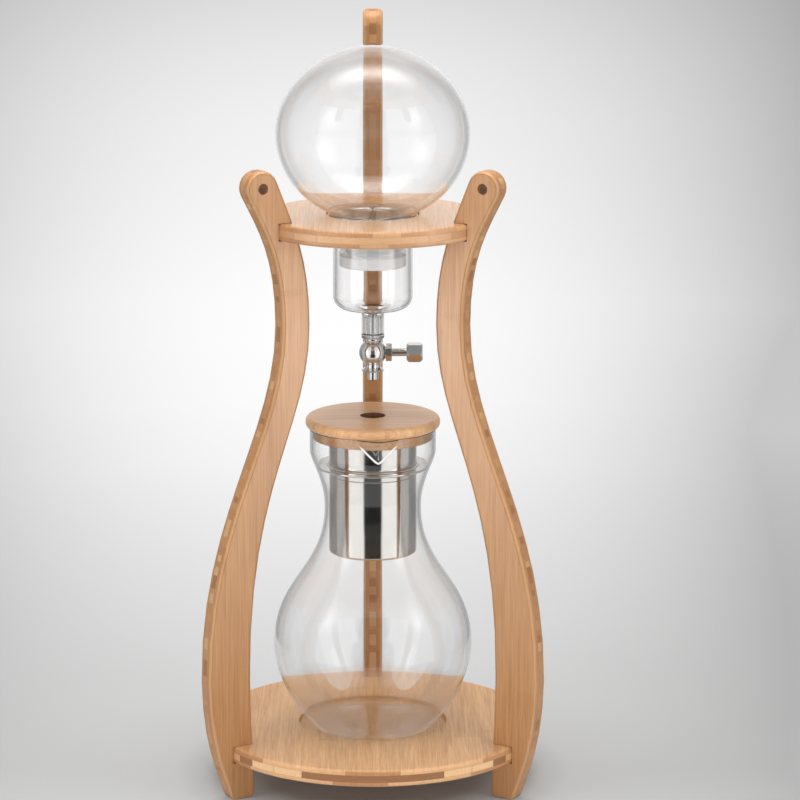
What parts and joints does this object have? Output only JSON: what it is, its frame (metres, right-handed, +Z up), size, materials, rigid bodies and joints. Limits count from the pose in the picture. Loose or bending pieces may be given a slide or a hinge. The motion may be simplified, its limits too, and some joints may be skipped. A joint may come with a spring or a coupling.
{
  "type": "cold drip coffee tower",
  "caption": "Three curved bamboo legs carry two round shelves; a globe flask and drip chamber with a needle valve drip through a lidded filter into a glass carafe.",
  "frame": {"origin": "centre of the object's bounding box at its base, on the plane that the three feet stand on", "axes": "+Z up; +Y to the back, where the tall leg stands; +X to the right as seen from the front, where the valve's knob points. The tower's own axis is parallel to Z and passes through y = -9.65 mm."},
  "size_m": [0.2504, 0.2637, 0.566],
  "materials": {
    "bamboo": "laminated bamboo, clear satin lacquer",
    "dowel_wood": "plain beech",
    "clear_glass": "clear, polished",
    "white_plastic": "moulded, satin",
    "clear_rubber": "soft silicone, milky grey",
    "black_rubber": "moulded O-ring",
    "valve_steel": "turned, satin polished",
    "filter_steel": "drawn sheet, polished",
    "screw_steel": "blackened"
  },
  "bodies": {
    "frame": {"leg_left": "bamboo", "leg_right": "bamboo", "leg_back": "bamboo", "upper_shelf": "bamboo", "lower_shelf": "bamboo", "upper_dowels": "dowel_wood", "lower_dowels": "dowel_wood"},
    "drip_unit": {"drip_chamber": "clear_glass", "valve_stopper": "clear_rubber", "valve_body": "valve_steel", "gland_nut": "valve_steel", "outlet_skirt": "valve_steel", "drip_spout": "valve_steel"},
    "stem_carrier": {"stem_oring": "black_rubber"},
    "stem": {"valve_stem": "valve_steel", "valve_knob": "valve_steel", "knob_screw": "screw_steel"},
    "globe_flask": {"globe": "clear_glass"},
    "cap": {"globe_cap": "white_plastic", "cap_ring": "clear_rubber", "riser_tube": "clear_glass"},
    "carafe_jug": {"carafe": "clear_glass"},
    "filter": {"filter_cup": "filter_steel", "filter_flange": "filter_steel", "base_screen": "filter_steel"},
    "shower": {"shower_screen": "filter_steel"},
    "lid": {"lid_disc": "bamboo", "lid_plug": "bamboo"}
  },
  "joints": [
    {"name": "chamber_lift", "type": "slide", "parent": "frame", "child": "drip_unit", "axis": [0, 0, 1], "range_m": [0, 0.075]},
    {"name": "globe_lift", "type": "slide", "parent": "drip_unit", "child": "globe_flask", "axis": [0, 0, 1], "range_m": [0, 0.06]},
    {"name": "cap_pull", "type": "slide", "parent": "globe_flask", "child": "cap", "axis": [0, 0, -1], "range_m": [0, 0.018]},
    {"name": "needle_travel", "type": "slide", "parent": "drip_unit", "child": "stem_carrier", "axis": [1, 0, 0], "range_m": [0, 0.0024]},
    {"name": "knob_turn", "type": "hinge", "parent": "stem_carrier", "child": "stem", "pos_m": [0, -0.00965, 0.3236], "axis": [1, 0, 0], "range_deg": [0, 1080]},
    {"name": "carafe_draw", "type": "slide", "parent": "frame", "child": "carafe_jug", "axis": [0, -0.9701, 0.2425], "range_m": [0, 0.22]},
    {"name": "filter_lift", "type": "slide", "parent": "carafe_jug", "child": "filter", "axis": [0, 0, 1], "range_m": [0, 0.005]},
    {"name": "screen_lift", "type": "slide", "parent": "filter", "child": "shower", "axis": [0, 0, 1], "range_m": [0, 0.015]},
    {"name": "lid_lift", "type": "slide", "parent": "filter", "child": "lid", "axis": [0, 0, 1], "range_m": [0, 0.009]}
  ],
  "couplings": [
    {"joint": "knob_turn", "follows": "needle_travel", "rad_per_m": 7854}
  ]
}
